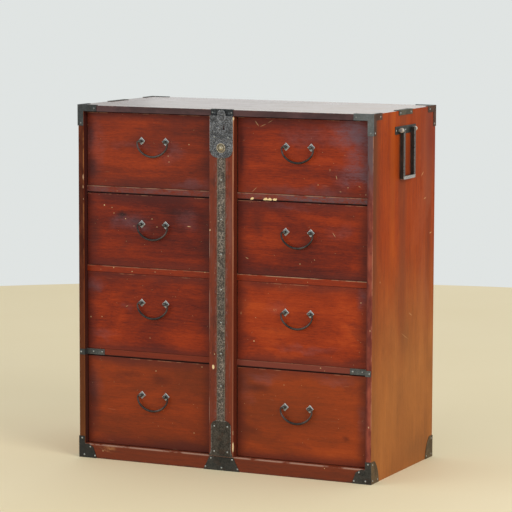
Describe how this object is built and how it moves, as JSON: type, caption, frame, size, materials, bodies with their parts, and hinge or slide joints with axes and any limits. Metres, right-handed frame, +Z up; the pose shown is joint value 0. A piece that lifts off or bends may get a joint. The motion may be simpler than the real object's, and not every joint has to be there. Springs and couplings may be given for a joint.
{
  "type": "isho clothing chest",
  "caption": "Low clothing chest with two columns of drawers, an upright iron-strapped locking bar down the middle, bail handles and carrying handles on its sides.",
  "frame": {"origin": "on the floor, at the centre of the footprint of the chest with its fittings", "axes": "+Z up, +Y from the drawer fronts to the back, +X to the right of someone facing the drawers"},
  "size_m": [0.94, 0.4687, 1.0165],
  "materials": {
    "lacquered_front": "worn red-brown wiped lacquer, satin",
    "lacquered_case": "worn red-brown wiped lacquer, satin",
    "bare_wood": "bare planed softwood, aged",
    "blackened_iron": "blackened wrought sheet iron, dull",
    "handle_iron": "rubbed wrought iron, low sheen",
    "iron_nail": "iron nail heads rubbed bright",
    "brass": "tarnished brass"
  },
  "bodies": {
    "case": {"left_side": "lacquered_case", "right_side": "lacquered_case", "top_board": "lacquered_case", "bottom_board": "bare_wood", "back_boards": "bare_wood", "base_rail": "lacquered_case", "centre_divider": "bare_wood", "row_rails": "lacquered_front", "dust_boards": "bare_wood", "drawer_guides": "bare_wood", "top_corner_irons": "blackened_iron", "base_corner_irons": "blackened_iron", "rail_straps": "blackened_iron", "strike_plate": "blackened_iron", "base_plate": "blackened_iron", "edge_plates": "blackened_iron", "pole_plates": "blackened_iron", "pole_posts": "blackened_iron", "case_nails": "iron_nail"},
    "drawer_left_1": {"drawer_front_left_1": "lacquered_front", "drawer_box_left_1": "bare_wood", "handle_posts_left_1": "handle_iron"},
    "bail_left_1": {"handle_bail_left_1": "handle_iron"},
    "drawer_right_1": {"drawer_front_right_1": "lacquered_front", "drawer_box_right_1": "bare_wood", "handle_posts_right_1": "handle_iron"},
    "bail_right_1": {"handle_bail_right_1": "handle_iron"},
    "drawer_left_2": {"drawer_front_left_2": "lacquered_front", "drawer_box_left_2": "bare_wood", "handle_posts_left_2": "handle_iron"},
    "bail_left_2": {"handle_bail_left_2": "handle_iron"},
    "drawer_right_2": {"drawer_front_right_2": "lacquered_front", "drawer_box_right_2": "bare_wood", "handle_posts_right_2": "handle_iron"},
    "bail_right_2": {"handle_bail_right_2": "handle_iron"},
    "drawer_left_3": {"drawer_front_left_3": "lacquered_front", "drawer_box_left_3": "bare_wood", "handle_posts_left_3": "handle_iron"},
    "bail_left_3": {"handle_bail_left_3": "handle_iron"},
    "drawer_right_3": {"drawer_front_right_3": "lacquered_front", "drawer_box_right_3": "bare_wood", "handle_posts_right_3": "handle_iron"},
    "bail_right_3": {"handle_bail_right_3": "handle_iron"},
    "drawer_left_4": {"drawer_front_left_4": "lacquered_front", "drawer_box_left_4": "bare_wood", "handle_posts_left_4": "handle_iron"},
    "bail_left_4": {"handle_bail_left_4": "handle_iron"},
    "drawer_right_4": {"drawer_front_right_4": "lacquered_front", "drawer_box_right_4": "bare_wood", "handle_posts_right_4": "handle_iron"},
    "bail_right_4": {"handle_bail_right_4": "handle_iron"},
    "pole_handle_left": {"pole_handle_left": "blackened_iron"},
    "pole_handle_right": {"pole_handle_right": "blackened_iron"},
    "locking_bar": {"lock_bar": "lacquered_front", "lock_plate": "blackened_iron", "lock_boss": "brass", "bar_strap": "blackened_iron", "foot_plate": "blackened_iron", "bar_nails": "iron_nail"},
    "lock_bolt": {"lock_bolt": "blackened_iron"}
  },
  "joints": [
    {"name": "drawer_slide_left_1", "type": "slide", "parent": "case", "child": "drawer_left_1", "axis": [0, -1, 0], "range_m": [0, 0.34]},
    {"name": "bail_hinge_left_1", "type": "hinge", "parent": "drawer_left_1", "child": "bail_left_1", "pos_m": [-0.224, -0.21175, 0.9175], "axis": [-1, 0, 0], "range_deg": [0, 170]},
    {"name": "drawer_slide_right_1", "type": "slide", "parent": "case", "child": "drawer_right_1", "axis": [0, -1, 0], "range_m": [0, 0.34]},
    {"name": "bail_hinge_right_1", "type": "hinge", "parent": "drawer_right_1", "child": "bail_right_1", "pos_m": [0.224, -0.21175, 0.9175], "axis": [-1, 0, 0], "range_deg": [0, 170]},
    {"name": "drawer_slide_left_2", "type": "slide", "parent": "case", "child": "drawer_left_2", "axis": [0, -1, 0], "range_m": [0, 0.34]},
    {"name": "bail_hinge_left_2", "type": "hinge", "parent": "drawer_left_2", "child": "bail_left_2", "pos_m": [-0.224, -0.21175, 0.682], "axis": [-1, 0, 0], "range_deg": [0, 170]},
    {"name": "drawer_slide_right_2", "type": "slide", "parent": "case", "child": "drawer_right_2", "axis": [0, -1, 0], "range_m": [0, 0.34]},
    {"name": "bail_hinge_right_2", "type": "hinge", "parent": "drawer_right_2", "child": "bail_right_2", "pos_m": [0.224, -0.21175, 0.682], "axis": [-1, 0, 0], "range_deg": [0, 170]},
    {"name": "drawer_slide_left_3", "type": "slide", "parent": "case", "child": "drawer_left_3", "axis": [0, -1, 0], "range_m": [0, 0.34]},
    {"name": "bail_hinge_left_3", "type": "hinge", "parent": "drawer_left_3", "child": "bail_left_3", "pos_m": [-0.224, -0.21175, 0.4575], "axis": [-1, 0, 0], "range_deg": [0, 170]},
    {"name": "drawer_slide_right_3", "type": "slide", "parent": "case", "child": "drawer_right_3", "axis": [0, -1, 0], "range_m": [0, 0.34]},
    {"name": "bail_hinge_right_3", "type": "hinge", "parent": "drawer_right_3", "child": "bail_right_3", "pos_m": [0.224, -0.21175, 0.4575], "axis": [-1, 0, 0], "range_deg": [0, 170]},
    {"name": "drawer_slide_left_4", "type": "slide", "parent": "case", "child": "drawer_left_4", "axis": [0, -1, 0], "range_m": [0, 0.34]},
    {"name": "bail_hinge_left_4", "type": "hinge", "parent": "drawer_left_4", "child": "bail_left_4", "pos_m": [-0.224, -0.21175, 0.192], "axis": [-1, 0, 0], "range_deg": [0, 170]},
    {"name": "drawer_slide_right_4", "type": "slide", "parent": "case", "child": "drawer_right_4", "axis": [0, -1, 0], "range_m": [0, 0.34]},
    {"name": "bail_hinge_right_4", "type": "hinge", "parent": "drawer_right_4", "child": "bail_right_4", "pos_m": [0.224, -0.21175, 0.192], "axis": [-1, 0, 0], "range_deg": [0, 170]},
    {"name": "pole_handle_hinge_left", "type": "hinge", "parent": "case", "child": "pole_handle_left", "pos_m": [-0.4635, 0.00475, 0.9613], "axis": [0, 1, 0], "range_deg": [0, 180]},
    {"name": "pole_handle_hinge_right", "type": "hinge", "parent": "case", "child": "pole_handle_right", "pos_m": [0.4635, 0.00475, 0.9613], "axis": [0, -1, 0], "range_deg": [0, 180]},
    {"name": "bar_tilt", "type": "hinge", "parent": "case", "child": "locking_bar", "pos_m": [0, -0.22675, 0.0413], "axis": [1, 0, 0], "range_deg": [0, 20]},
    {"name": "bolt_slide", "type": "slide", "parent": "locking_bar", "child": "lock_bolt", "axis": [0, 0, 1], "range_m": [0, 0.008]}
  ]
}
